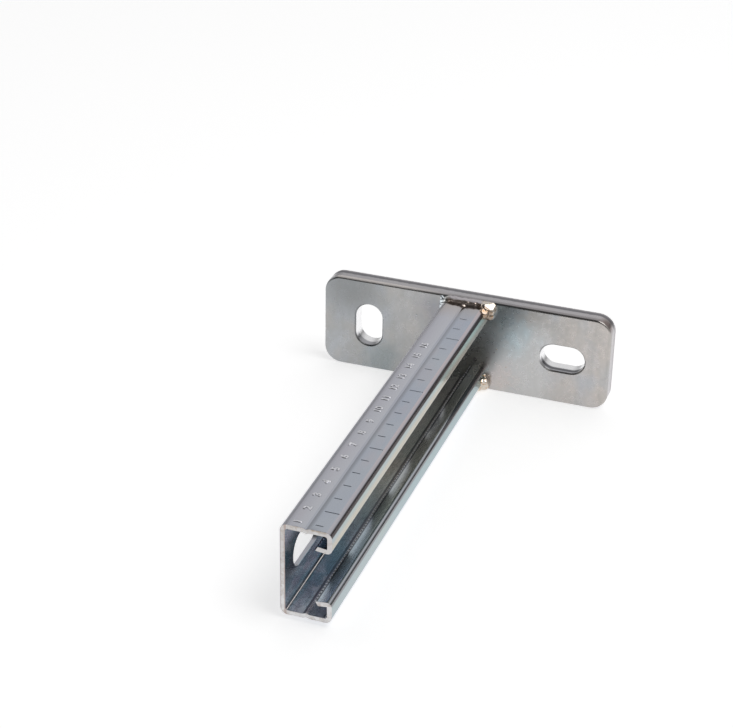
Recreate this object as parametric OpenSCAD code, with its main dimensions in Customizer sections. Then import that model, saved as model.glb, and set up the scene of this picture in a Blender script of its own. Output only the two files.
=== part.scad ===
// Cantilever strut arm: a slotted strut channel welded square to a wall plate.
// The wall face lies in the XZ plane at y = 0, +Z is up and the arm runs out along -Y.

/* [Channel section] */
// Height of the channel over its two flanges
channel_h = 41; // [38:0.5:46]
// Depth of the channel from the web to the open face
channel_w = 21; // [18:0.5:41]
// Thickness of the rolled strip
wall = 2; // [1.5:0.1:2.5]
// Outside radius of the four bends at the flanges
bend_r = 3; // [2.6:0.1:3.5]
// Clear gap between the two lips
lip_gap = 22; // [18:0.5:24]
// Reach of each lip's inward turn, from the open face
lip_reach = 7.3; // [6:0.1:8.5]
// Inside radius of that turn
lip_bend_in = 0.2; // [0.1:0.1:1]
// Angle by which the turn goes past square
lip_over = 7; // [0:1:12]
// Slope on the end of each lip, across the strip's thickness
lip_bevel = 0.8; // [0.2:0.1:1.2]
// Spacing of the teeth along each lip's end
tooth_pitch = 2; // [1.6:0.1:3]
// Depth of the teeth
tooth_d = 1; // [0.3:0.1:1.2]
// Place of the first tooth's tip, from the free end
tooth_first = 0.6; // [0.2:0.1:1.5]
// Width of the stiffening bead rolled along each flange
bead_w = 3; // [2:0.1:4]
// Depth of that bead
bead_d = 0.5; // [0.2:0.1:0.8]

/* [Arm] */
// Length of the arm from the plate's front face to its free end
arm_l = 200; // [150:1:300]
// Length of each web slot, end to end
web_slot_l = 30; // [20:1:40]
// Width of each web slot
web_slot_w = 14; // [9:0.5:16]
// Spacing of the web slots
web_slot_pitch = 50; // [45:1:60]
// Middle of the first web slot, from the free end
web_slot_first = 23.5; // [22:0.5:40]

/* [Scale marks] */
// Spacing of the marks along the top flange
mark_pitch = 10; // [5:1:20]
// Place of the first mark, from the free end
mark_first = 3.5; // [2:0.5:9]
// Gap between the bead and the marks
mark_gap = 0.9; // [0.3:0.1:1.5]
// Length of a short mark
mark_short = 3.2; // [2:0.1:5]
// Length of a long mark
mark_long = 6.5; // [5.5:0.1:7]
// Width of a mark
mark_w = 0.4; // [0.2:0.05:0.6]
// Depth of a mark
mark_d = 0.2; // [0.1:0.05:0.4]

/* [Wall plate] */
// Length of the plate, along the wall
plate_l = 137; // [120:1:180]
// Height of the plate
plate_h = 45; // [44:0.5:60]
// Thickness of the plate
plate_t = 8; // [5:0.5:12]
// Radius of the plate's corners
plate_corner_r = 8; // [4:0.5:15]
// Rounding that the press leaves along the plate's front edge
plate_edge_r = 1; // [0.5:0.1:2]
// Length of each anchor slot, end to end
anchor_l = 21; // [16:0.5:26]
// Width of each anchor slot
anchor_w = 13; // [9:0.5:15]
// Middle of each anchor slot, from the plate's nearer end
anchor_inset = 22; // [20:0.5:28]
// Slope around the front rim of each anchor slot
anchor_rim = 0.6; // [0.2:0.1:1]

/* [Welds] */
// Reach of a weld bead along the arm
weld_leg = 4; // [3:0.5:6]
// Rise of a weld bead from the arm's skin up the plate
weld_rise = 2; // [1.5:0.1:4]
// Run of a weld down the web side, past the bend
weld_web_run = 5; // [2:0.5:10]
// Run of a weld down the lip side, past the bend
weld_lip_run = 2; // [1:0.5:3]
// Radius of the round stop at each end of a weld
weld_stop_r = 4.2; // [3:0.1:5]
// Distance of a stop's middle from the arm's skin
weld_stop_out = 1; // [0:0.1:2]

/* [Hidden] */
$fn = 64;

// Cuts run this far past the surface that they open
over = 1;

half_w = channel_w / 2;
half_h = channel_h / 2;
// Middle of the bends, from the channel's centre lines
bend_x = half_w - bend_r;
bend_y = half_h - bend_r;
// Free end of the arm, from the wall face
arm_end = plate_t + arm_l;
// Turn of the upper lip: its outside radius, its middle and the flat length past it
lip_bend_r = lip_bend_in + wall;
lip_bend_x = half_w - lip_bend_r;
lip_bend_y = lip_gap / 2 + lip_bend_r;
lip_flat = (lip_reach - lip_bend_r * (1 + sin(lip_over))) / cos(lip_over);
// Angle of the slope on the lip's end, and steps round its turn
lip_slope = atan(lip_bevel / wall);
lip_steps = 10;

// Web slots and marks that fit between the free end and the weld
web_slot_room = arm_l - weld_leg - web_slot_first - web_slot_l / 2;
web_slot_n = 1 + floor(web_slot_room / web_slot_pitch);
mark_room = arm_l - weld_leg - mark_first - mark_pitch;
mark_n = 1 + floor(mark_room / mark_pitch);
// One mark in five is long, counted from the second
mark_group = 5;
mark_long_at = 1;
mark_x = bead_w / 2 + mark_gap;

tooth_n = ceil(arm_l / tooth_pitch);

anchor_x = plate_l / 2 - anchor_inset;

// Shape of the bead: share of the rise that is left at a share of the leg
weld_shoulder = [0.94, 0.3];
weld_toe = [0.55, 0.72];
// A stop's top stays this far below the top of its bead
weld_stop_drop = 0.1;

zinc = [0.74, 0.75, 0.78];
plate_zinc = [0.70, 0.71, 0.72];
weld_brown = [0.45, 0.38, 0.31];

// Turns the build axes, with z out of the wall, to the part's own axes
module out_of_wall() {
    rotate([90, 0, 0])
        children();
}

// A slot's outline, long in x
module slot_outline(length, width) {
    straight = length - width;
    square([straight, width], center = true);
    for (side = [-1, 1])
        translate([side * straight / 2, 0])
            circle(d = width);
}

// A quarter of a bend, filling the quadrant that starts at the given angle
module bend(angle) {
    rotate(angle)
        intersection() {
            difference() {
                circle(r = bend_r);
                circle(r = bend_r - wall);
            }
            square(bend_r + over);
        }
}

// The upper half of the channel's section, from the web's middle to the end of the lip
module half_section() {
    translate([-half_w, 0])
        square([wall, bend_y]);
    translate([-bend_x, bend_y])
        bend(90);
    polygon([
        [-bend_x, half_h],
        [-bead_w / 2, half_h],
        [0, half_h - bead_d],
        [bead_w / 2, half_h],
        [bend_x, half_h],
        [bend_x, half_h - wall],
        [bead_w / 2, half_h - wall],
        [0, half_h - wall - bead_d],
        [-bead_w / 2, half_h - wall],
        [-bend_x, half_h - wall]
    ]);
    translate([bend_x, bend_y])
        bend(0);
    lip_section();
}

module half_channel() {
    linear_extrude(arm_l)
        half_section();
}

// A point of the upper lip: along its flat end and out from it, from the middle of its turn
function lip_point(along, out) = [
    lip_bend_x + along * cos(lip_over) + out * sin(lip_over),
    lip_bend_y - along * sin(lip_over) + out * cos(lip_over)
];

// Points round the lip's turn, from one angle to another
function lip_arc(radius, from, to) = [
    for (i = [0 : lip_steps])
        let (angle = from + (to - from) * i / lip_steps)
            [lip_bend_x + radius * cos(angle), lip_bend_y + radius * sin(angle)]
];

// The upper lip, with its flat end left long for the teeth to be cut
module lip_section() {
    turn_end = -90 - lip_over;
    polygon(concat(
        [[half_w - wall, bend_y], [half_w, bend_y]],
        lip_arc(lip_bend_r, 0, turn_end),
        [lip_point(-lip_flat - over, -lip_bend_r), lip_point(-lip_flat - over, -lip_bend_in)],
        lip_arc(lip_bend_in, turn_end, 0)
    ));
}

// What is cut off the upper lip's end, at a slope, to leave its teeth
module tooth_gaps() {
    edge = [
        for (i = [-1 : tooth_n], step = [0, 0.5])
            [step == 0 ? 0 : tooth_d * cos(lip_slope), arm_l - tooth_first - (i + step) * tooth_pitch]
    ];
    far = -wall - 2 * over;
    translate(concat(lip_point(-lip_flat, -lip_bend_r), [0]))
        rotate(-lip_over - lip_slope)
            translate([0, 2 * wall, 0])
                rotate([90, 0, 0])
                    linear_extrude(2 * wall + over)
                        polygon(concat([[far, edge[0][1]]], edge, [[far, edge[len(edge) - 1][1]]]));
}

module web_slots() {
    for (i = [0 : web_slot_n - 1])
        translate([-half_w - over, 0, arm_l - web_slot_first - i * web_slot_pitch])
            rotate([0, 90, 0])
                linear_extrude(wall + 2 * over)
                    slot_outline(web_slot_l, web_slot_w);
}

module scale_marks() {
    for (i = [0 : mark_n - 1]) {
        length = i % mark_group == mark_long_at ? mark_long : mark_short;
        translate([mark_x, half_h - mark_d, arm_l - mark_first - i * mark_pitch - mark_w / 2])
            cube([length, mark_d + over, mark_w]);
    }
}

module channel_arm() {
    color(zinc)
        out_of_wall()
            translate([0, 0, plate_t])
                difference() {
                    union() {
                        half_channel();
                        mirror([0, 1, 0])
                            half_channel();
                    }
                    tooth_gaps();
                    mirror([0, 1, 0])
                        tooth_gaps();
                    web_slots();
                    scale_marks();
                }
}

// Section of the plate's rim: flat at the wall, rounded at the front
module rim_section() {
    square([plate_corner_r - plate_edge_r, plate_t]);
    square([plate_corner_r, plate_t - plate_edge_r]);
    translate([plate_corner_r - plate_edge_r, plate_t - plate_edge_r])
        circle(r = plate_edge_r);
}

// A straight stretch of the rim, facing +x and centred on y
module rim_run(length) {
    translate([0, length / 2, 0])
        rotate([90, 0, 0])
            linear_extrude(length)
                rim_section();
}

module plate_blank() {
    inner_l = plate_l - 2 * plate_corner_r;
    inner_h = plate_h - 2 * plate_corner_r;
    translate([-inner_l / 2, -inner_h / 2, 0])
        cube([inner_l, inner_h, plate_t]);
    for (turn = [0, 180])
        rotate(turn) {
            translate([inner_l / 2, 0, 0])
                rim_run(inner_h);
            translate([0, inner_h / 2, 0])
                rotate(90)
                    rim_run(inner_l);
            translate([inner_l / 2, inner_h / 2, 0])
                rotate_extrude(angle = 90)
                    rim_section();
            translate([-inner_l / 2, inner_h / 2, 0])
                rotate(90)
                    rotate_extrude(angle = 90)
                        rim_section();
        }
}

// An anchor slot through the plate, long in x, with a sloped rim at the front
module anchor_slot() {
    straight = anchor_l - anchor_w;
    translate([0, 0, -over])
        linear_extrude(plate_t + 2 * over)
            slot_outline(anchor_l, anchor_w);
    translate([0, 0, plate_t - anchor_rim]) {
        for (side = [-1, 1])
            translate([side * straight / 2, 0, 0])
                cylinder(h = anchor_rim, d1 = anchor_w, d2 = anchor_w + 2 * anchor_rim);
        rotate([90, 0, 90])
            translate([0, 0, -straight / 2])
                linear_extrude(straight)
                    polygon([
                        [-anchor_w / 2, 0],
                        [anchor_w / 2, 0],
                        [anchor_w / 2 + anchor_rim, anchor_rim],
                        [-anchor_w / 2 - anchor_rim, anchor_rim]
                    ]);
    }
}

module base_plate() {
    color(plate_zinc)
        out_of_wall()
            difference() {
                plate_blank();
                translate([-anchor_x, 0, 0])
                    rotate(90)
                        anchor_slot();
                translate([anchor_x, 0, 0])
                    anchor_slot();
            }
}

// Section of a weld bead: x out from the arm, y along the arm from the plate
module bead_section() {
    polygon([
        [0, 0],
        [weld_rise, 0],
        [weld_rise * weld_shoulder[0], weld_leg * weld_shoulder[1]],
        [weld_rise * weld_toe[0], weld_leg * weld_toe[1]],
        [0, weld_leg]
    ]);
}

// The channel's outer outline, with its open side closed
module closed_outline() {
    square([channel_w, 2 * bend_y], center = true);
    square([2 * bend_x, channel_h], center = true);
    for (x = [-1, 1], y = [-1, 1])
        translate([x * bend_x, y * bend_y])
            circle(r = bend_r);
}

// The domes of melt where a bead over the top flange starts and stops, clear of the arm
module weld_stops() {
    difference() {
        for (side = [-1, 1])
            translate([
                side * (half_w + weld_stop_out),
                half_h + weld_rise - weld_stop_drop - weld_stop_r,
                0
            ])
                rotate_extrude()
                    intersection() {
                        circle(r = weld_stop_r);
                        square(weld_stop_r + over);
                    }
        translate([0, 0, -over])
            linear_extrude(weld_stop_r + 2 * over)
                closed_outline();
    }
}

// A bead over the top flange that turns down round both bends
module flange_weld() {
    weld_stops();
    translate([-bend_x, half_h, 0])
        rotate([90, 0, 90])
            linear_extrude(2 * bend_x)
                bead_section();
    for (side = [0, 1])
        mirror([side, 0, 0])
            translate([bend_x, bend_y, 0])
                rotate_extrude(angle = 90)
                    translate([bend_r, 0])
                        bead_section();
    weld_run_down(weld_lip_run);
    mirror([1, 0, 0])
        weld_run_down(weld_web_run);
}

// The bead's run down the +x side, with a rounded end
module weld_run_down(run) {
    translate([half_w, bend_y, 0])
        rotate([90, 0, 0])
            linear_extrude(run)
                bead_section();
    translate([half_w, bend_y - run, 0])
        rotate(-90)
            rotate_extrude(angle = 90)
                bead_section();
}

module top_weld() {
    color(weld_brown)
        out_of_wall()
            translate([0, 0, plate_t])
                flange_weld();
}

module bottom_weld() {
    color(weld_brown)
        out_of_wall()
            translate([0, 0, plate_t])
                mirror([0, 1, 0])
                    flange_weld();
}

channel_arm();
base_plate();
top_weld();
bottom_weld();
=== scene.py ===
import math
import random

import bmesh
import bpy
from mathutils import Matrix, Vector, noise


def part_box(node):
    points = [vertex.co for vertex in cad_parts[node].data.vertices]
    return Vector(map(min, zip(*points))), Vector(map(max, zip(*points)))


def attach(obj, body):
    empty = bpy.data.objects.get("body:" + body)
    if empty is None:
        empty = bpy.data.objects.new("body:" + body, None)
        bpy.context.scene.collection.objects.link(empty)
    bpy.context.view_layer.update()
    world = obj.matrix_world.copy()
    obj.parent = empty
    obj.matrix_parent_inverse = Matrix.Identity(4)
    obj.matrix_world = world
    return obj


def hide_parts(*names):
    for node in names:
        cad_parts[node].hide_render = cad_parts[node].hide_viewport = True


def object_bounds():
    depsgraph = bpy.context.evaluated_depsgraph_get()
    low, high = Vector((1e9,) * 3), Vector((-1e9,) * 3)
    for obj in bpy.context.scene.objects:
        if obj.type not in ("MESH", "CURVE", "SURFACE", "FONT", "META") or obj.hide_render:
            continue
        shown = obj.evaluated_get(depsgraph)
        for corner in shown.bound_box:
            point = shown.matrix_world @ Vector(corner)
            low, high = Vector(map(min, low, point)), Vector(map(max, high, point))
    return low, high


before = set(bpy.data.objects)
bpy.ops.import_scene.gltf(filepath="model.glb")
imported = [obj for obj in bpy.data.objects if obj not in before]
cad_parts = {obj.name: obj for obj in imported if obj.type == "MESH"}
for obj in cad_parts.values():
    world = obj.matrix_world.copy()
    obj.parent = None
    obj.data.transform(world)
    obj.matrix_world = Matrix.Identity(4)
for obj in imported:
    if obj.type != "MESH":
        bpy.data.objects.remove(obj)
cad_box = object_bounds()
scene = bpy.context.scene
scene.view_settings.view_transform = "Standard"

MM = 0.001

# Sizes of the part, in millimetres, from the frame

ARM_LOW, ARM_HIGH = (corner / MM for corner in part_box("channel_arm"))
PLATE_LOW, PLATE_HIGH = (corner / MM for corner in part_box("base_plate"))
HALF_W = ARM_HIGH.x
HALF_H = ARM_HIGH.z
PLATE_TOP = PLATE_HIGH.z
PLATE_FRONT = PLATE_LOW.y
FREE_END = ARM_LOW.y
FLOOR_Z = PLATE_LOW.z

# Details of the arm and the plate that the boxes don't give

WALL = 2.0
INNER_X = HALF_W - WALL
INNER_Z = HALF_H - WALL
BEND_R = 3.0
BEND_X = HALF_W - BEND_R
BEND_Z = HALF_H - BEND_R
LIP_TIP_X = 3.2
LIP_TIP_Z = 11.6
TOOTH_D = 1.0
TOOTH_ROOT_X = LIP_TIP_X + TOOTH_D
PLATE_EDGE_R = 1.0
MARK_PITCH = 10.0
MARK_FIRST = 3.5


# Camera: the photograph's place, aim and roll, in the part's own frame

CAMERA_PLACE = Vector((224.4, -781.7, 425.9)) * MM
CAMERA_AIM = Vector((-17.3, -93.6, 28.6)) * MM
CAMERA_ROLL = math.radians(0.887)
SENSOR_MM = 36.0
LENS_MM = 97.08
CLIP_NEAR_M = 0.01
CLIP_FAR_M = 200.0


def make_camera():
    data = bpy.data.cameras.new("camera")
    data.sensor_fit = "HORIZONTAL"
    data.sensor_width = SENSOR_MM
    data.lens = LENS_MM
    data.clip_start = CLIP_NEAR_M
    data.clip_end = CLIP_FAR_M
    camera = bpy.data.objects.new("camera", data)
    turn = (CAMERA_AIM - CAMERA_PLACE).to_track_quat("-Z", "Y").to_matrix().to_4x4()
    roll = Matrix.Rotation(CAMERA_ROLL, 4, "Z")
    camera.matrix_world = Matrix.Translation(CAMERA_PLACE) @ turn @ roll
    scene.collection.objects.link(camera)
    scene.camera = camera


# Node helpers

BEVEL_SAMPLES = 6


class Graph:
    """A short way to lay shader nodes: each call adds nodes and links what it is given."""

    def __init__(self, tree):
        self.tree = tree
        tree.nodes.clear()

    def node(self, kind, inputs=None, **settings):
        made = self.tree.nodes.new(kind)
        for name, value in settings.items():
            setattr(made, name, value)
        for name, value in (inputs or {}).items():
            self.feed(made.inputs[name], value)
        return made

    def feed(self, socket, value):
        if isinstance(value, bpy.types.NodeSocket):
            self.tree.links.new(value, socket)
        else:
            socket.default_value = value

    def math(self, operation, first, second=0.0, clamp=False):
        made = self.node("ShaderNodeMath", operation=operation, use_clamp=clamp)
        self.feed(made.inputs[0], first)
        self.feed(made.inputs[1], second)
        return made.outputs[0]

    def add(self, first, second, clamp=False):
        return self.math("ADD", first, second, clamp)

    def times(self, *values):
        product = values[0]
        for value in values[1:]:
            product = self.math("MULTIPLY", product, value)
        return product

    def above(self, value, limit):
        return self.math("GREATER_THAN", value, limit)

    def below(self, value, limit):
        return self.math("LESS_THAN", value, limit)

    def size(self, value):
        return self.math("ABSOLUTE", value)

    def rest(self, mask):
        return self.math("SUBTRACT", 1.0, mask)

    def ramp(self, value, low, high, start=0.0, end=1.0, smooth=False):
        """Goes from start to end as the value goes from low to high."""
        kind = "SMOOTHSTEP" if smooth else "LINEAR"
        inputs = {"Value": value, "From Min": low, "From Max": high, "To Min": start, "To Max": end}
        return self.node("ShaderNodeMapRange", inputs, interpolation_type=kind).outputs[0]

    def band(self, value, low, high, soft):
        """1 between low and high, fading to 0 over soft on each side."""
        rise = self.ramp(value, low - soft, low, smooth=True)
        fall = self.ramp(value, high, high + soft, 1.0, 0.0, smooth=True)
        return self.times(rise, fall)

    def mix(self, factor, first, second):
        made = self.node("ShaderNodeMix", data_type="RGBA")
        self.feed(made.inputs[0], factor)
        self.feed(made.inputs[6], first)
        self.feed(made.inputs[7], second)
        return made.outputs[2]


class Paint(Graph):
    """The shader of one metal: coats of colour over one another, by place (mm) and surface direction."""

    def __init__(self, tree):
        super().__init__(tree)
        self.color = None
        where = self.place((1 / MM,) * 3)
        facing = self.node("ShaderNodeTexCoord").outputs["Normal"]
        self.x, self.y, self.z = self.node("ShaderNodeSeparateXYZ", {"Vector": where}).outputs
        self.nx, self.ny, self.nz = self.node("ShaderNodeSeparateXYZ", {"Vector": facing}).outputs

    def place(self, scale):
        where = self.node("ShaderNodeTexCoord").outputs["Object"]
        return self.node("ShaderNodeMapping", {"Vector": where, "Scale": scale}).outputs[0]

    def coat(self, mask, color, share=1.0):
        """Lays a colour over the one below it where the mask is 1, at a share of its full strength."""
        if share < 1.0:
            mask = self.times(mask, share)
        self.color = self.mix(mask, self.color, color)

    def near(self, point_mm, inner, outer, wobble=None):
        """1 within inner millimetres of a point, fading to 0 at outer."""
        ends = {0: self.place((1 / MM,) * 3), 1: point_mm}
        away = self.node("ShaderNodeVectorMath", ends, operation="DISTANCE").outputs["Value"]
        if wobble is not None:
            away = self.add(away, wobble)
        return self.ramp(away, inner, outer, 1.0, 0.0, smooth=True)

    def noise(self, size_mm, detail=3.0, stretch=(1.0, 1.0, 1.0)):
        scale = tuple(part / (size_mm * MM) for part in stretch)
        inputs = {"Vector": self.place(scale), "Scale": 1.0, "Detail": detail}
        return self.node("ShaderNodeTexNoise", inputs).outputs["Fac"]

    def specks(self, size_mm, share):
        """Small round dots, one in each cell of that size, over a share of the cell."""
        inputs = {"Vector": self.place((1 / (size_mm * MM),) * 3), "Scale": 1.0}
        away = self.node("ShaderNodeTexVoronoi", inputs).outputs["Distance"]
        return self.ramp(away, share * 0.5, share, 1.0, 0.0, smooth=True)

    def metal(self, rough, height, relief_mm, edge_mm=0.0, metallic=1.0):
        """Ends the shader: a metal in the coats' colour with a fine relief and, if asked, softened edges."""
        relief = {"Height": height, "Strength": 1.0, "Distance": relief_mm * MM}
        if edge_mm:
            edge = self.node("ShaderNodeBevel", {"Radius": edge_mm * MM}, samples=BEVEL_SAMPLES)
            relief["Normal"] = edge.outputs[0]
        inputs = {
            "Base Color": self.color,
            "Metallic": metallic,
            "Roughness": rough,
            "Normal": self.node("ShaderNodeBump", relief).outputs[0],
        }
        shader = self.node("ShaderNodeBsdfPrincipled", inputs)
        self.node("ShaderNodeOutputMaterial", {"Surface": shader.outputs[0]})


def rgb(red, green, blue):
    return (red, green, blue, 1.0)


def new_material(name):
    material = bpy.data.materials.new(name)
    material.use_nodes = True
    return material


# Zinc on the arm's strip, one function for each zone


def strip_flats(p, cloud, drift):
    """Flats: warmer on the web's half, bluer on the lips' half, brown by the weld, with pale marks."""
    p.color = p.mix(p.ramp(p.x, -2.0, 2.0), rgb(0.468, 0.468, 0.522), rgb(0.42, 0.455, 0.53))
    p.coat(p.ramp(cloud, 0.42, 0.65, 0.0, 0.6), rgb(0.48, 0.51, 0.55))
    p.coat(p.ramp(drift, 0.5, 0.75, 0.0, 0.5), rgb(0.50, 0.47, 0.51))
    by_groove = p.times(p.ramp(p.x, -8.5, -1.5, 0.0, 0.6, smooth=True), p.below(p.x, -0.8))
    p.coat(by_groove, rgb(0.55, 0.56, 0.60))
    web_edge = p.band(p.x, -HALF_W, -7.6, 1.2)
    p.coat(web_edge, rgb(0.39, 0.395, 0.435), 0.5)
    ragged_y = p.add(p.y, p.ramp(drift, 0.0, 1.0, -5.0, 5.0))
    p.coat(p.ramp(ragged_y, -27.0, -13.0, 0.0, 0.6), rgb(0.48, 0.42, 0.38))

    # Marks: painted light makes them paler and so fainter towards the plate
    marks = p.times(p.band(p.z, HALF_H - 0.8, HALF_H - 0.06, 0.02), p.band(p.x, 1.5, BEND_X - 0.1, 0.05))
    p.coat(p.times(marks, p.ramp(p.y, -110.0, -40.0, 0.0, 0.8)), rgb(0.80, 0.80, 0.84))


def strip_bends(p):
    """Bends: painted light makes the web's side paler towards the plate; painted reflections band the side
    of the lips.
    """
    web_bend = p.times(p.ramp(p.nx, -0.1, -0.5), p.above(p.nz, 0.02), p.below(p.x, -BEND_X))
    # Painted light: the web's bend made paler towards the plate
    p.coat(p.times(web_bend, p.ramp(p.y, -120.0, -60.0)), rgb(0.85, 0.84, 0.90), 0.6)
    bend = p.times(p.above(p.x, BEND_X - 0.05), p.above(p.nz, 0.02))

    # Over the upper lip: a pink line where the flat ends, then a brown tint darkened into a painted dark
    # reflection
    upper = p.times(bend, p.above(p.z, 0.0))
    pink = p.times(upper, p.band(p.nx, 0.26, 0.58, 0.08), p.ramp(p.y, -185.0, -130.0, 0.3, 0.55))
    p.coat(pink, rgb(0.64, 0.53, 0.53))
    # Painted dark reflection along the bend, over a brown tint
    p.coat(p.times(upper, p.band(p.nx, 0.70, 0.97, 0.06)), rgb(0.16, 0.13, 0.13), 0.85)
    p.coat(p.times(upper, p.band(p.nx, 0.88, 0.97, 0.03)), rgb(0.07, 0.06, 0.06), 0.95)

    # Turn of the lower lip: green, a painted thin highlight line, then a painted dark reflection
    lower = p.times(bend, p.below(p.z, 0.0))
    p.coat(p.times(lower, p.band(p.nx, 0.05, 0.34, 0.05)), rgb(0.20, 0.25, 0.24), 0.75)
    p.coat(p.times(lower, p.band(p.nx, 0.40, 0.54, 0.05)), rgb(0.52, 0.50, 0.50), 0.5)
    p.coat(p.times(lower, p.band(p.nx, 0.64, 0.97, 0.05)), rgb(0.24, 0.23, 0.23), 0.8)
    return web_bend


def strip_lips(p, drift):
    """Lips: the upper one greener towards the plate and cream at its lower edge, the lower one bluer."""
    upper = p.above(p.z, 0.0)
    pale = p.mix(p.ramp(drift, 0.35, 0.65), rgb(0.335, 0.405, 0.43), rgb(0.35, 0.42, 0.415))
    green = p.times(upper, p.ramp(p.y, -95.0, -50.0))
    pale = p.mix(green, pale, rgb(0.55, 0.72, 0.66))
    blue = p.times(p.below(p.z, 0.0), p.ramp(p.y, -150.0, -110.0, 0.0, 0.7))
    pale = p.mix(blue, pale, rgb(0.245, 0.36, 0.395))
    cream = p.times(upper, p.ramp(p.z, 16.8, 14.6), 0.85)
    pale = p.mix(cream, pale, rgb(0.50, 0.45, 0.36))
    p.coat(p.times(p.ramp(p.nx, 0.97, 0.99), p.above(p.x, HALF_W - 1.0)), pale)
    under = p.times(upper, p.above(p.x, BEND_X), p.ramp(p.nz, -0.2, -0.5))
    p.coat(under, rgb(0.50, 0.36, 0.24), 0.8)


def strip_inside(p, cloud, drift, uncut):
    """Inside of the channel: teal by the free end, olive and brown by the plate."""
    spots = p.noise(5.0, detail=4.0, stretch=(1.0, 0.35, 1.0))
    teal = p.mix(p.ramp(spots, 0.38, 0.62), rgb(0.22, 0.42, 0.53), rgb(0.46, 0.40, 0.51))
    teal = p.mix(p.ramp(drift, 0.52, 0.7, 0.0, 0.7), teal, rgb(0.22, 0.27, 0.34))
    patches = p.ramp(spots, 0.4, 0.6)
    olive = p.mix(patches, rgb(0.72, 0.65, 0.57), rgb(0.63, 0.67, 0.60))
    brown = p.mix(patches, rgb(0.50, 0.43, 0.36), rgb(0.42, 0.45, 0.39))
    olive = p.mix(p.ramp(p.y, -48.0, -14.0), olive, brown)
    ragged_y = p.add(p.y, p.ramp(cloud, 0.0, 1.0, -25.0, 25.0))
    inner = p.mix(p.ramp(ragged_y, -165.0, -100.0), teal, olive)

    # Lower flange: a painted pool of light at the mouth, dark behind it, grey by the plate
    from_mouth = p.ramp(p.y, FREE_END + 4.0, FREE_END + 17.0)
    low = p.mix(from_mouth, rgb(0.95, 0.97, 1.0), rgb(0.30, 0.41, 0.48))
    low = p.mix(p.ramp(p.y, -150.0, -100.0), low, rgb(0.64, 0.65, 0.64))
    inner = p.mix(p.ramp(p.nz, 0.5, 0.9, 0.0, 0.85), inner, low)

    stains = p.ramp(p.noise(2.2, detail=4.0), 0.52, 0.66)
    stains = p.times(stains, p.ramp(p.y, -120.0, -175.0, 0.25, 0.6))
    inner = p.mix(stains, inner, rgb(0.20, 0.25, 0.30))
    blotches = p.ramp(p.noise(4.0, stretch=(1.0, 0.5, 1.0)), 0.5, 0.62)
    blotches = p.times(blotches, p.ramp(p.y, -140.0, -185.0, 0.0, 0.6))
    inner = p.mix(blotches, inner, rgb(0.66, 0.68, 0.76))

    across = p.band(p.x, -INNER_X - 0.2, INNER_X + 0.2, 0.2)
    upright = p.band(p.z, -INNER_Z - 0.2, INNER_Z + 0.2, 0.2)
    hollow = p.times(across, upright)
    p.coat(p.times(hollow, uncut), inner, 0.9)
    return hollow, blotches


def strip_floor(p, uncut):
    """Lower flange inside: a painted shadow beside its ridge and a painted highlight on its top, and a
    bright seam in the web's bend.
    """
    level = p.ramp(p.nz, 0.7, 0.9)
    floor = p.times(p.band(p.z, -INNER_Z - 0.1, -INNER_Z + 0.7, 0.1), level, uncut)
    # Painted shadow beside the ridge, then a painted highlight on its top
    p.coat(p.times(floor, p.band(p.x, -1.3, -0.4, 0.2)), rgb(0.10, 0.10, 0.12), 0.85)
    p.coat(p.times(floor, p.band(p.x, 0.0, 0.5, 0.2)), rgb(0.95, 0.88, 0.90), 0.85)
    seam = p.times(p.band(p.nx, 0.4, 0.85, 0.1), p.below(p.x, -INNER_X + 1.0))
    seam = p.times(seam, p.below(p.z, -INNER_Z + 1.0))
    p.coat(p.times(seam, uncut), rgb(0.97, 0.92, 0.91))
    return floor, seam


def strip_teeth(p, uncut):
    """Turned-in part of a lip: painted light makes it pale, with a painted highlight on its teeth's points
    and painted shade at their roots and in their gaps.
    """
    high = p.size(p.z)
    level = p.ramp(p.size(p.nz), 0.7, 0.9)
    hook = p.times(p.band(high, LIP_TIP_Z - 0.65, LIP_TIP_Z + 0.15, 0.1), level, uncut)
    hook = p.times(hook, p.band(p.x, LIP_TIP_X - 0.2, HALF_W - 2.2, 0.2))
    pale = p.mix(p.ramp(p.y, -170.0, -110.0), rgb(0.66, 0.77, 0.82), rgb(0.74, 0.77, 0.76))
    # Painted light on the turned-in part
    p.coat(hook, pale, 0.75)
    # Painted shade at the roots of the teeth
    roots = p.times(hook, p.band(p.x, TOOTH_ROOT_X - 0.15, TOOTH_ROOT_X + 0.35, 0.15))
    p.coat(roots, rgb(0.10, 0.11, 0.13), 0.85)
    # Painted highlight on the points of the teeth
    points = p.times(hook, p.ramp(p.x, LIP_TIP_X + 0.75, LIP_TIP_X + 0.6))
    p.coat(points, rgb(0.62, 0.64, 0.68))
    # Painted shade in the gaps between the teeth
    across_arm = p.ramp(p.size(p.ny), 0.3, 0.5)
    gaps = p.times(p.band(high, LIP_TIP_Z - 0.6, LIP_TIP_Z + WALL + 0.3, 0.1), across_arm)
    gaps = p.times(gaps, p.band(p.x, LIP_TIP_X - 0.2, TOOTH_ROOT_X + 0.4, 0.1), uncut)
    p.coat(gaps, rgb(0.04, 0.04, 0.05), 0.95)
    return hook, points


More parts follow.
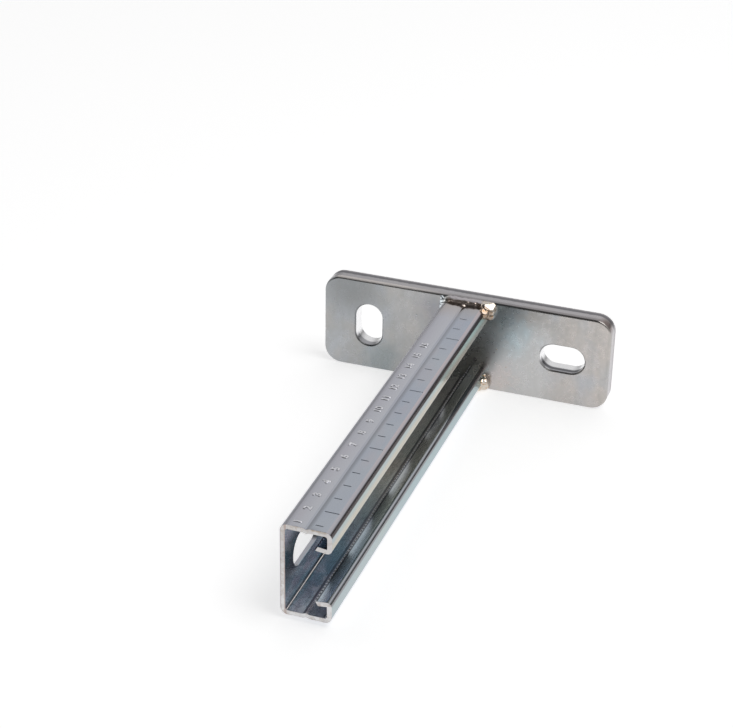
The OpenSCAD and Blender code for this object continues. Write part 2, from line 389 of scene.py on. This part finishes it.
def strip_end(p):
    """Sawn end: paler, with brown stains, a burr along its upper edge and darker rims on the web."""
    cut = p.times(p.below(p.y, FREE_END + 0.1), p.below(p.ny, -0.5))
    grain = p.noise(1.5, detail=4.0)
    burr = p.times(p.ramp(p.z, HALF_H - 1.3, HALF_H - 0.3), p.ramp(grain, 0.4, 0.6), 0.5)
    stains = p.add(p.ramp(grain, 0.5, 0.72, 0.0, 0.6), burr, clamp=True)
    sawn = p.mix(p.ramp(p.z, 6.0, -14.0), rgb(0.62, 0.61, 0.61), rgb(0.74, 0.735, 0.74))
    sawn = p.mix(p.ramp(p.noise(3.2), 0.45, 0.65, 0.0, 0.55), sawn, rgb(0.50, 0.47, 0.47))
    sawn = p.mix(stains, sawn, rgb(0.42, 0.35, 0.29))
    inner_rim = p.times(p.band(p.x, -INNER_X - 0.35, -INNER_X + 0.5, 0.1), 0.6)
    sawn = p.mix(inner_rim, sawn, rgb(0.40, 0.29, 0.25))
    outer_rim = p.ramp(p.x, -HALF_W + 0.45, -HALF_W + 0.1, 0.0, 0.7)
    sawn = p.mix(outer_rim, sawn, rgb(0.30, 0.26, 0.29))
    p.coat(cut, sawn)
    return cut, grain


def zinc_strip():
    """Bright zinc over rolled strip: lilac flats, brown bends with painted dark reflections, pale lips, and
    a dark teal inside with painted light and shade at the mouth and on the teeth.
    """
    material = new_material("zinc_strip")
    p = Paint(material.node_tree)
    cloud = p.noise(22.0, stretch=(1.0, 0.4, 1.0))
    drift = p.noise(7.0, stretch=(1.0, 0.3, 1.0))
    uncut = p.above(p.y, FREE_END + 0.1)
    strip_flats(p, cloud, drift)
    web_bend = strip_bends(p)
    strip_lips(p, drift)
    hollow, blotches = strip_inside(p, cloud, drift, uncut)
    floor, seam = strip_floor(p, uncut)
    hook, points = strip_teeth(p, uncut)
    cut, grain = strip_end(p)
    # Painted highlight on the tops of the raised numbers
    number_tops = p.times(p.above(p.z, HALF_H + 0.03), p.below(p.y, PLATE_FRONT - 6.0))
    p.coat(number_tops, rgb(0.80, 0.80, 0.84), 0.8)

    # Rolling lines: rougher on the sawn end and the web's bend, smoother in the seam
    lines = p.noise(0.7, detail=2.0, stretch=(1.0, 0.02, 1.0))
    rough = p.add(p.ramp(lines, 0.3, 0.7, 0.13, 0.19), p.times(cut, 0.2))
    rough = p.math("SUBTRACT", rough, p.times(seam, 0.08))
    rough = p.add(rough, p.times(web_bend, 0.3))
    relief = p.add(lines, p.times(cut, grain, 4.0))

    # Dull zinc: on the lips' turned-in parts, deep inside, and on the floor and the web at the mouth
    on_lips = p.add(p.times(hook, 0.07), p.times(points, 0.45))
    deep = p.times(hollow, p.ramp(p.y, -125.0, -70.0, 0.0, 0.25), p.rest(hook))
    on_floor = p.times(floor, p.ramp(blotches, 0.0, 0.5, 0.2, 0.6), p.ramp(p.y, -165.0, -200.0))
    on_web = p.times(p.ramp(p.nx, 0.8, 0.95), p.band(p.x, -INNER_X - 0.2, -INNER_X + 0.2, 0.1), uncut)
    at_mouth = p.add(on_floor, p.times(on_web, p.ramp(p.y, -170.0, -198.0, 0.0, 0.35)))
    dull = p.add(p.add(on_lips, at_mouth), deep, clamp=True)
    p.metal(rough, relief, relief_mm=0.002, edge_mm=0.2, metallic=p.rest(dull))
    return material


# Zinc on the plate, one function for each zone


def plate_face(p, cloud, fine, runs):
    """Face: cool grey at the left and warm at the right, with clouds and upright streaks."""
    ragged_x = p.add(p.x, p.ramp(cloud, 0.0, 1.0, -30.0, 30.0))
    warm = p.ramp(ragged_x, 5.0, 60.0, smooth=True)
    p.color = p.mix(warm, rgb(0.405, 0.41, 0.415), rgb(0.57, 0.53, 0.505))
    p.coat(p.ramp(cloud, 0.42, 0.68, 0.0, 0.6), rgb(0.47, 0.50, 0.54))
    p.coat(p.ramp(fine, 0.35, 0.75, 0.0, 0.28), rgb(0.36, 0.365, 0.35))
    streaks = p.noise(3.0, stretch=(1.0, 1.0, 0.15))
    p.coat(p.ramp(streaks, 0.45, 0.75, 0.0, 0.4), rgb(0.34, 0.35, 0.34))
    p.coat(p.ramp(runs, 0.5, 0.75, 0.0, 0.4), rgb(0.43, 0.46, 0.51))
    p.coat(p.ramp(runs, 0.48, 0.28, 0.0, 0.35), rgb(0.49, 0.455, 0.42))


def plate_zones(p, cloud, fine, runs):
    """Zones of the face: shades at the left, a bright and a beige band, heat by the welds, and soot with a
    painted dark reflection of the arm beside the top one.
    """
    wobble = p.ramp(fine, 0.2, 0.8, -4.0, 4.0)

    def spot(x, z, inner, outer):
        return p.near((x, PLATE_FRONT, z), inner, outer, wobble)

    lilac = spot(-HALF_W - 6.0, HALF_H - 7.0, 2.0, 10.0)
    p.coat(lilac, rgb(0.30, 0.305, 0.345), 0.65)
    shade = spot(-56.0, 19.0, 3.0, 24.0)
    p.coat(shade, rgb(0.245, 0.255, 0.262), 0.75)
    low_shade = spot(-38.0, -17.0, 3.0, 15.0)
    p.coat(low_shade, rgb(0.245, 0.29, 0.305), 0.6)
    bright = p.times(p.band(p.x, 20.0, 36.0, 10.0), p.ramp(p.z, 18.0, 8.0))
    p.coat(bright, rgb(0.60, 0.60, 0.60), 0.6)
    beige = p.times(p.band(p.x, -31.0, -16.0, 8.0), p.ramp(cloud, 0.38, 0.6))
    p.coat(beige, rgb(0.49, 0.455, 0.42), 0.4)
    # Soot and a painted dark reflection of the arm, right of the top weld
    soot_and_dark_reflection = spot(HALF_W + 7.0, HALF_H - 1.0, 4.0, 14.0)
    p.coat(soot_and_dark_reflection, rgb(0.22, 0.28, 0.32), 0.4)
    blue = p.times(spot(HALF_W + 14.0, HALF_H - 12.0, 4.0, 16.0), p.ramp(runs, 0.35, 0.6))
    p.coat(blue, rgb(0.50, 0.60, 0.64), 0.6)
    low_heat = spot(HALF_W + 5.0, -HALF_H + 6.0, 2.0, 14.0)
    p.coat(low_heat, rgb(0.58, 0.47, 0.42), 0.35)


def plate_specks(p):
    """Small dark pits all over and a few light specks near the weld."""
    p.coat(p.specks(6.0, 0.07), rgb(0.20, 0.20, 0.20), 0.4)
    by_weld = p.near((HALF_W + 9.0, PLATE_FRONT, HALF_H - 4.0), 3.0, 9.0)
    p.coat(p.times(p.specks(1.9, 0.16), by_weld), rgb(0.80, 0.84, 0.86), 0.8)


def plate_rim(p, fine, slot):
    """Sheared rim: dark where the press tore it; its rolled edge has a painted dark reflection at the right,
    and at the left painted light and a rougher, worn finish.
    """
    rim = p.ramp(p.ny, -0.5, -0.2)
    p.coat(rim, rgb(0.48, 0.46, 0.48), 0.8)
    ragged_y = p.add(p.y, p.ramp(fine, 0.0, 1.0, -0.5, 0.5))
    torn = p.times(rim, p.band(ragged_y, -2.7, -1.1, 0.5))
    torn = p.times(torn, p.ramp(p.nz, 0.2, 0.6, 0.3, 1.0), p.rest(slot))
    p.coat(torn, rgb(0.20, 0.195, 0.21), 0.9)
    near_top = p.ramp(p.z, PLATE_TOP - 0.5, PLATE_TOP - 0.3)
    rolled = p.times(near_top, p.ramp(p.y, PLATE_FRONT + 2.5, PLATE_FRONT + 2.0))
    # Painted dark reflection on the rolled edge, at the right
    p.coat(p.times(rolled, p.ramp(p.x, -30.0, -5.0, 0.0, 0.5)), rgb(0.17, 0.15, 0.15))
    # Painted light on the rolled edge at the left, which is also made rougher from wear
    wear_and_painted_light = p.times(rolled, p.ramp(p.x, -5.0, -30.0))
    p.coat(wear_and_painted_light, rgb(0.78, 0.74, 0.72))
    right_corner = (PLATE_HIGH.x - 2.5, PLATE_FRONT + 1.5, PLATE_TOP - 2.0)
    p.coat(p.times(rim, p.near(right_corner, 1.5, 5.5)), rgb(0.20, 0.14, 0.12), 0.75)
    return torn, wear_and_painted_light


def plate_slots(p, slot):
    """Slots: wiped bright by the punch, greyer towards the front of their lower walls, with a painted dark
    reflection on the right slot's lower wall.
    """
    p.coat(slot, rgb(0.93, 0.93, 0.94), 0.95)
    lower_wall = p.times(slot, p.ramp(p.nz, 0.2, 0.5), p.ramp(p.y, -3.8, -4.8))
    p.coat(lower_wall, rgb(0.40, 0.40, 0.42))
    # Painted dark reflection on the right slot's lower wall
    dark_strip = p.times(lower_wall, p.band(p.y, -6.4, -4.8, 0.4), p.above(p.x, 0.0))
    p.coat(dark_strip, rgb(0.10, 0.10, 0.11), 0.85)


def zinc_plate():
    """Zinc over hot-rolled plate: cloudy grey, with a torn rim and bright slots."""
    material = new_material("zinc_plate")
    p = Paint(material.node_tree)
    cloud = p.noise(12.0, detail=5.0)
    fine = p.noise(2.2, detail=4.0)
    runs = p.noise(9.0, detail=2.0, stretch=(1.0, 1.0, 0.6))
    slot = p.times(p.ramp(p.size(p.ny), 0.5, 0.2), p.band(p.size(p.x), 33.0, 60.0, 0.5))
    slot = p.times(slot, p.ramp(p.size(p.z), 13.0, 12.0))
    plate_face(p, cloud, fine, runs)
    plate_zones(p, cloud, fine, runs)
    plate_specks(p)
    torn, wear_and_painted_light = plate_rim(p, fine, slot)
    plate_slots(p, slot)
    rough = p.add(p.ramp(fine, 0.3, 0.7, 0.25, 0.34), p.times(torn, 0.12))
    rough = p.add(rough, p.times(wear_and_painted_light, 0.25))
    p.metal(rough, p.noise(0.9), relief_mm=0.003, edge_mm=0.3)
    return material


# Zinc on the welds


def weld_metal():
    """Zinc-plated weld: brown on its slope, lilac where it is level, pale at its toe and its stops."""
    material = new_material("weld_metal")
    p = Paint(material.node_tree)
    cloud = p.noise(2.4, detail=4.0)
    aside = p.size(p.x)
    p.color = p.mix(p.ramp(cloud, 0.35, 0.65), rgb(0.52, 0.36, 0.28), rgb(0.68, 0.55, 0.47))
    p.coat(p.ramp(p.nz, 0.75, 0.95), rgb(0.50, 0.47, 0.49))
    ragged_y = p.add(p.y, p.ramp(cloud, 0.2, 0.8, -0.5, 0.5))
    toe = p.times(p.ramp(ragged_y, -9.9, -10.7, 0.0, 0.7), p.ramp(aside, BEND_X - 0.5, BEND_X - 1.5))
    p.coat(toe, rgb(0.92, 0.80, 0.73))
    stop = p.ramp(aside, BEND_X, BEND_X + 1.0)
    p.coat(stop, rgb(0.68, 0.63, 0.56), 0.85)
    web_stop = p.ramp(p.x, -BEND_X, -HALF_W)
    p.coat(web_stop, rgb(0.70, 0.77, 0.82), 0.85)

    # Stops on the lips' side: rusty in places, the top one grey below and brown at its front
    lip_stop = p.times(stop, p.above(p.x, 0.0))
    p.coat(p.times(lip_stop, p.band(p.z, 12.0, 17.4, 0.8)), rgb(0.50, 0.52, 0.52), 0.8)
    front = p.times(lip_stop, p.ramp(p.y, -10.8, -11.5), p.above(p.z, 0.0))
    p.coat(front, rgb(0.34, 0.26, 0.20), 0.9)
    rust = p.times(lip_stop, p.ramp(p.noise(1.4, detail=2.0), 0.55, 0.68))
    p.coat(rust, rgb(0.55, 0.33, 0.16), 0.8)

    height = p.times(cloud, p.ramp(stop, 0.0, 1.0, 1.0, 0.25), p.ramp(web_stop, 0.0, 1.0, 1.0, 0.4))
    rough = p.add(p.ramp(cloud, 0.3, 0.7, 0.18, 0.3), p.times(toe, 0.1))
    p.metal(rough, height, relief_mm=0.12)
    return material


# Pieces

JOIN_MM = 0.001
CREASE = math.radians(30.0)


def dress(node, material):
    """Puts a material on a CAD node and shades its bends smooth and its flats flat."""
    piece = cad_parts[node]
    mesh = piece.data
    mesh.materials.clear()
    mesh.materials.append(material)
    mesh.attributes.remove(mesh.attributes["custom_normal"])
    mesh.shade_smooth()
    joined = piece.modifiers.new("joined", "WELD")
    joined.merge_threshold = JOIN_MM * MM
    creased = piece.modifiers.new("creased", "EDGE_SPLIT")
    creased.split_angle = CREASE
    creased.use_edge_sharp = False
    piece.modifiers.new("flats", "WEIGHTED_NORMAL").keep_sharp = True


def add_piece(name, mesh, material, replaced=None):
    """Puts a mesh that is drawn in millimetres on the part."""
    mesh.transform(Matrix.Scale(MM, 4))
    mesh.materials.append(material)
    mesh.shade_smooth()
    piece = bpy.data.objects.new(name, mesh)
    scene.collection.objects.link(piece)
    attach(piece, "root")
    if replaced:
        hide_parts(replaced)


# Weld beads: a section swept round the outside of the channel, against the plate

ARC = BEND_R * math.pi / 2
WELD_STEP = 0.35
WELD_SLOPE_STEPS = 14
WELD_TOP = PLATE_TOP - 0.05
WELD_SINK = 0.6
WELD_VOXEL = 0.22
WELD_EASING = 0.5
WELD_SMOOTHING = 6
RIPPLE_RATE = 0.9
RIPPLE_RISE = 0.05
RIPPLE_LEG = 0.12
SWELL_RATE = 0.7
SWELL = 0.12


def skin(s):
    """A point on the channel's outer skin and the way out of it, s round from the flange's middle."""
    run = abs(s)
    side = math.copysign(1.0, s)
    if run <= BEND_X:
        return Vector((s, 0.0, HALF_H)), Vector((0.0, 0.0, 1.0))
    if run <= BEND_X + ARC:
        turn = (run - BEND_X) / BEND_R
        out = Vector((side * math.sin(turn), 0.0, math.cos(turn)))
        return Vector((side * BEND_X, 0.0, BEND_Z)) + out * BEND_R, out
    return Vector((side * HALF_W, 0.0, BEND_Z - (run - BEND_X - ARC))), Vector((side, 0.0, 0.0))


def between(table, s):
    """A smooth run through (place, size) pairs."""
    for (s0, v0), (s1, v1) in zip(table, table[1:]):
        if s <= s1:
            t = max(0.0, (s - s0) / (s1 - s0))
            return v0 + (v1 - v0) * t * t * (3 - 2 * t)
    return table[-1][1]


def plate_skin_y(z):
    """Where the plate's face lies along y at a height, round its top edge."""
    drop = min(PLATE_EDGE_R, max(0.0, z - (PLATE_TOP - PLATE_EDGE_R)))
    return PLATE_FRONT + PLATE_EDGE_R - math.sqrt(PLATE_EDGE_R ** 2 - drop ** 2)


def limit_sink(spot):
    """Keeps a point from sinking far into the channel's wall or the plate."""
    wide = HALF_W - WELD_SINK
    tall = HALF_H - WELD_SINK
    bend = BEND_R - WELD_SINK
    across = abs(spot.x) - BEND_X
    up = abs(spot.z) - BEND_Z
    if across > 0 and up > 0:
        away = math.hypot(across, up)
        if away < bend:
            spot.x = math.copysign(BEND_X + across * bend / away, spot.x)
            spot.z = math.copysign(BEND_Z + up * bend / away, spot.z)
    elif up > across and abs(spot.z) < tall:
        spot.z = math.copysign(tall, spot.z)
    elif up <= across and abs(spot.x) < wide:
        spot.x = math.copysign(wide, spot.x)
    spot.y = min(spot.y, PLATE_FRONT + WELD_SINK)


def weld_ring(s, rise, leg, fullness):
    """One section of a bead: down its slope from the plate to the arm, and back inside the two."""
    point, out = skin(s)
    back = plate_skin_y(min(WELD_TOP, (point + out * rise).z))
    sunk = point - out * WELD_SINK
    ring = [Vector((sunk.x, PLATE_FRONT + WELD_SINK, sunk.z))]
    ring.append(point + out * rise + Vector((0.0, back + WELD_SINK, 0.0)))
    for k in range(WELD_SLOPE_STEPS + 1):
        turn = math.pi / 2 * k / WELD_SLOPE_STEPS
        rise_here = rise * max(0.0, math.cos(turn)) ** fullness
        y = back + (PLATE_FRONT - leg - back) * math.sin(turn) ** fullness
        ring.append(point + out * rise_here + Vector((0.0, y, 0.0)))
    ring.append(Vector((sunk.x, PLATE_FRONT - leg, sunk.z)))
    for spot in ring:
        spot.z = min(spot.z, WELD_TOP)
    return ring


def add_bead(shape, bead, seed):
    """Sweeps a bead round the channel, with a ripple along it."""
    start = bead["rise"][0][0]
    stop = bead["rise"][-1][0]
    count = int((stop - start) / WELD_STEP)
    rows = []
    for i in range(count + 1):
        s = start + (stop - start) * i / count
        ripple = noise.noise(Vector((s * RIPPLE_RATE, seed, 0.0)))
        rise = between(bead["rise"], s) * (1 + RIPPLE_RISE * ripple)
        leg = between(bead["leg"], s) * (1 + RIPPLE_LEG * ripple)
        ring = weld_ring(s, rise, leg, between(bead["fullness"], s))
        rows.append([shape.verts.new(spot) for spot in ring])
    for first, second in zip(rows, rows[1:]):
        for k in range(len(first)):
            after = (k + 1) % len(first)
            shape.faces.new((first[k], first[after], second[after], second[k]))
    shape.faces.new(rows[0])
    shape.faces.new(rows[-1])


def add_lump(shape, middle, sizes, flats):
    """Adds a drop of melt: an egg with flat places, each a direction and a distance from the middle."""
    made = bmesh.ops.create_icosphere(shape, subdivisions=4, radius=1.0)
    for vertex in made["verts"]:
        spot = Vector(a * b for a, b in zip(vertex.co, sizes))
        for way, away in flats:
            aim = Vector(way).normalized()
            spot -= aim * max(0.0, spot.dot(aim) - away)
        spot += Vector(middle)
        limit_sink(spot)
        vertex.co = spot


def melted(mesh, seed):
    """One uneven skin over a bead and its drops, no higher than the plate."""
    raw = bpy.data.objects.new("raw", mesh)
    scene.collection.objects.link(raw)
    joined = raw.modifiers.new("joined", "REMESH")
    joined.mode = "VOXEL"
    joined.voxel_size = WELD_VOXEL
    eased = raw.modifiers.new("eased", "SMOOTH")
    eased.factor = WELD_EASING
    eased.iterations = WELD_SMOOTHING
    done = bpy.data.meshes.new_from_object(raw.evaluated_get(bpy.context.evaluated_depsgraph_get()))
    bpy.data.objects.remove(raw)
    for vertex in done.vertices:
        spot = vertex.co
        where = Vector((spot.x * SWELL_RATE, spot.y * SWELL_RATE, spot.z * SWELL_RATE + seed))
        swell = SWELL * noise.noise(where)
        spot.y -= swell
        spot.z = max(-WELD_TOP, min(WELD_TOP, spot.z + swell))
    return done


def weld_mesh(name, bead, lumps, seed, flip):
    """A bead and its drops, drawn at the top flange and turned over for the bottom one."""
    shape = bmesh.new()
    add_bead(shape, bead, seed)
    for middle, sizes, flats in lumps:
        add_lump(shape, middle, sizes, flats)
    if flip:
        bmesh.ops.scale(shape, vec=(1.0, 1.0, -1.0), verts=shape.verts)
    bmesh.ops.recalc_face_normals(shape, faces=shape.faces)
    mesh = bpy.data.meshes.new("raw")
    shape.to_mesh(mesh)
    shape.free()
    done = melted(mesh, seed)
    done.name = name
    return done


# Sizes of the beads at places round the channel: their rise up the plate, their leg along the arm
# and the fullness of their slope, which is round at 1 and fuller below 1

TOP_BEAD = {
    "rise": [
        (-23, 0.4), (-20, 1.4), (-16, 1.9), (-12, 2.0), (-9, 1.9),
        (-6, 1.95), (9, 1.95), (12.6, 2.0), (14.2, 1.4), (15.2, 0.4),
    ],
    "leg": [
        (-23, 0.4), (-18, 1.4), (-12, 1.8), (-8, 2.4), (-5, 2.8),
        (9, 2.8), (12.6, 2.4), (14.2, 1.6), (15.2, 0.4),
    ],
    "fullness": [(-23, 0.9), (-10, 0.9), (-6, 0.55), (6, 0.55), (10, 0.8), (15.2, 0.8)],
}
LOW_BEAD = {
    "rise": [(-16, 0.4), (-13, 1.8), (-9, 1.95), (9, 1.95), (13, 2.0), (14.5, 1.4), (15.4, 0.4)],
    "leg": [(-16, 0.4), (-13, 1.8), (-6, 2.8), (9, 2.8), (13, 2.2), (14.6, 1.5), (15.4, 0.4)],
    "fullness": [(-16, 0.9), (-6, 0.6), (6, 0.6), (10, 0.8), (15.4, 0.8)],
}
TOP_SEED = 2.0
LOW_SEED = 7.0

# Drops on the beads: middle, half sizes and flat places

TO_LAMP = (0.40, -0.52, 0.75)
TO_LAMP_LOW = (0.40, -0.52, -0.75)
TO_LEFT = (-0.40, -0.55, 0.73)
BLOB_FLATS = [
    (TO_LAMP, 2.4),
    ((0.42, -0.855, 0.30), 3.08),
    ((0.25, -0.15, 0.957), 3.08),
    ((0.85, -0.42, 0.31), 3.36),
    ((-0.30, -0.62, 0.725), 3.48),
]
TOP_LUMPS = [
    ((11.0, -8.8, 19.9), (4.0, 3.8, 3.6), BLOB_FLATS),
    ((9.8, -12.0, 18.6), (2.6, 2.6, 2.6), [(TO_LAMP, 2.1)]),
    ((11.8, -9.6, 16.9), (3.0, 2.8, 2.3), []),
    ((0.2, -11.0, 20.0), (1.0, 0.9, 0.9), [(TO_LAMP, 0.6)]),
    ((-9.4, -9.4, 19.6), (2.6, 2.0, 2.0), [(TO_LEFT, 1.5)]),
    ((-11.2, -8.4, 21.2), (0.9, 1.0, 1.1), []),
]
LOW_LUMPS = [
    ((10.8, -8.8, 19.2), (2.8, 3.0, 3.2), []),
    ((8.4, -10.8, 19.4), (3.0, 3.2, 2.8), []),
    ((10.2, -11.6, 16.8), (1.6, 1.9, 1.6), [(TO_LAMP_LOW, 1.4)]),
    ((11.8, -10.4, 16.9), (1.4, 1.8, 1.4), [(TO_LAMP_LOW, 1.2)]),
    ((-10.2, -8.8, 19.0), (2.2, 2.2, 2.2), []),
]


# Spatter: small beads of melt that stuck to the plate beside the welds

SPATTER_N = 14
SPATTER_SEED = 5
SPATTER_START = HALF_W + 5.0
SPATTER_SPREAD = 8.0
SPATTER_REACH = 32.0
SPATTER_Z = (-HALF_H + 2.0, PLATE_TOP - 3.0)
SPATTER_R = (0.15, 0.35)
SPATTER_FLATNESS = 0.55


def spatter_mesh():
    draw = random.Random(SPATTER_SEED)
    shape = bmesh.new()
    for i in range(SPATTER_N):
        side = 1 if i % 3 else -1
        x = side * (SPATTER_START + draw.expovariate(1 / SPATTER_SPREAD))
        z = draw.uniform(*SPATTER_Z)
        r = draw.uniform(*SPATTER_R)
        if abs(x) > SPATTER_REACH:
            continue
        spot = Matrix.Translation((x, PLATE_FRONT, z)) @ Matrix.Diagonal((r, r * SPATTER_FLATNESS, r, 1.0))
        bmesh.ops.create_icosphere(shape, subdivisions=2, radius=1.0, matrix=spot)
    mesh = bpy.data.meshes.new("weld_spatter")
    shape.to_mesh(mesh)
    shape.free()
    return mesh


# Plain numbers at the scale marks

NUMBER_LAST = 16
NUMBER_H = 4.6
NUMBER_WEIGHT = 0.1
NUMBER_X = -3.0
NUMBER_RELIEF = 0.2


def number_mesh():
    shape = bmesh.new()
    for i in range(1, NUMBER_LAST + 1):
        text = bpy.data.curves.new("number", "FONT")
        text.body = str(i)
        text.size = NUMBER_H
        text.align_x = "CENTER"
        text.offset = NUMBER_WEIGHT
        text.extrude = NUMBER_RELIEF / 2
        text.bevel_depth = NUMBER_RELIEF / 2
        text.bevel_resolution = 1
        made = bpy.data.objects.new("number", text)
        mesh = bpy.data.meshes.new_from_object(made)
        y = FREE_END + MARK_FIRST + (i - 1) * MARK_PITCH
        mesh.transform(Matrix.Translation((NUMBER_X, y, HALF_H)) @ Matrix.Rotation(math.pi / 2, 4, "Z"))
        shape.from_mesh(mesh)
        bpy.data.objects.remove(made)
        bpy.data.meshes.remove(mesh)
    bmesh.ops.remove_doubles(shape, verts=shape.verts, dist=JOIN_MM)
    mesh = bpy.data.meshes.new("scale_numbers")
    shape.to_mesh(mesh)
    shape.free()
    return mesh


# Floor: pale and matt, with a glow that the camera and reflections see

FLOOR_HALF_M = 30.0
FLOOR_COLOR = rgb(0.82, 0.82, 0.82)
FLOOR_GLOW = 0.6


def make_floor():
    mesh = bpy.data.meshes.new("floor")
    r = FLOOR_HALF_M
    z = FLOOR_Z * MM
    mesh.from_pydata([(-r, -r, z), (r, -r, z), (r, r, z), (-r, r, z)], [], [(0, 1, 2, 3)])
    floor = bpy.data.objects.new("floor", mesh)
    scene.collection.objects.link(floor)
    material = new_material("floor")
    g = Graph(material.node_tree)
    path = g.node("ShaderNodeLightPath").outputs
    seen = g.add(path["Is Camera Ray"], path["Is Glossy Ray"])
    seen = g.add(seen, path["Is Transmission Ray"], clamp=True)
    matt = g.node("ShaderNodeBsdfDiffuse", {"Color": FLOOR_COLOR})
    glow = g.node("ShaderNodeEmission", {"Strength": g.times(seen, FLOOR_GLOW)})
    both = g.node("ShaderNodeAddShader", {0: matt.outputs[0], 1: glow.outputs[0]})
    g.node("ShaderNodeOutputMaterial", {"Surface": both.outputs[0]})
    mesh.materials.append(material)


# The room, by direction: the middle of each patch, the degrees to its core and to its edge,
# and how bright its core is against the rest

ROOM_LEVEL = 0.5
FRONT_DARK = ((-0.29, -0.70, 0.65), 46.0, 68.0, 0.15)
BACK_DARK = ((0.62, 0.78, 0.0), 9.0, 16.0, 0.3)
BACK_PANEL = ((0.0, 0.83, 0.55), 8.0, 40.0, 1.9)
LEFT_PANEL = ((-0.84, 0.07, 0.53), 14.0, 22.0, 4.0)


def make_world():
    world = bpy.data.worlds.new("studio")
    world.use_nodes = True
    scene.world = world
    g = Graph(world.node_tree)
    way = g.node("ShaderNodeTexCoord").outputs["Generated"]
    level = ROOM_LEVEL
    for middle, inner, outer, share in (FRONT_DARK, BACK_DARK, BACK_PANEL, LEFT_PANEL):
        ends = {0: way, 1: tuple(Vector(middle).normalized())}
        near = g.node("ShaderNodeVectorMath", ends, operation="DOT_PRODUCT").outputs["Value"]
        edge = math.cos(math.radians(outer))
        core = math.cos(math.radians(inner))
        level = g.times(g.ramp(near, edge, core, 1.0, share, smooth=True), level)
    back = g.node("ShaderNodeBackground", {"Strength": level})
    g.node("ShaderNodeOutputWorld", {"Surface": back.outputs[0]})


# Key lamp: a soft disk above the part, to the right

KEY_WAY = Vector((0.42, -0.06, 0.855))
KEY_FAR_M = 1.6
KEY_ACROSS_M = 1.0
KEY_POWER = 7.0


def make_lamp():
    data = bpy.data.lights.new("key", "AREA")
    data.shape = "DISK"
    data.size = KEY_ACROSS_M
    data.energy = KEY_POWER
    lamp = bpy.data.objects.new("key", data)
    middle = (cad_box[0] + cad_box[1]) / 2
    place = middle + KEY_WAY.normalized() * KEY_FAR_M
    turn = (middle - place).to_track_quat("-Z", "Y").to_matrix().to_4x4()
    lamp.matrix_world = Matrix.Translation(place) @ turn
    scene.collection.objects.link(lamp)


make_camera()
strip = zinc_strip()
dress("channel_arm", strip)
dress("base_plate", zinc_plate())
weld = weld_metal()
top_bead = weld_mesh("top_bead", TOP_BEAD, TOP_LUMPS, TOP_SEED, flip=False)
add_piece("top_bead", top_bead, weld, "top_weld")
low_bead = weld_mesh("bottom_bead", LOW_BEAD, LOW_LUMPS, LOW_SEED, flip=True)
add_piece("bottom_bead", low_bead, weld, "bottom_weld")
add_piece("weld_spatter", spatter_mesh(), weld)
add_piece("scale_numbers", number_mesh(), strip)
make_floor()
make_world()
make_lamp()
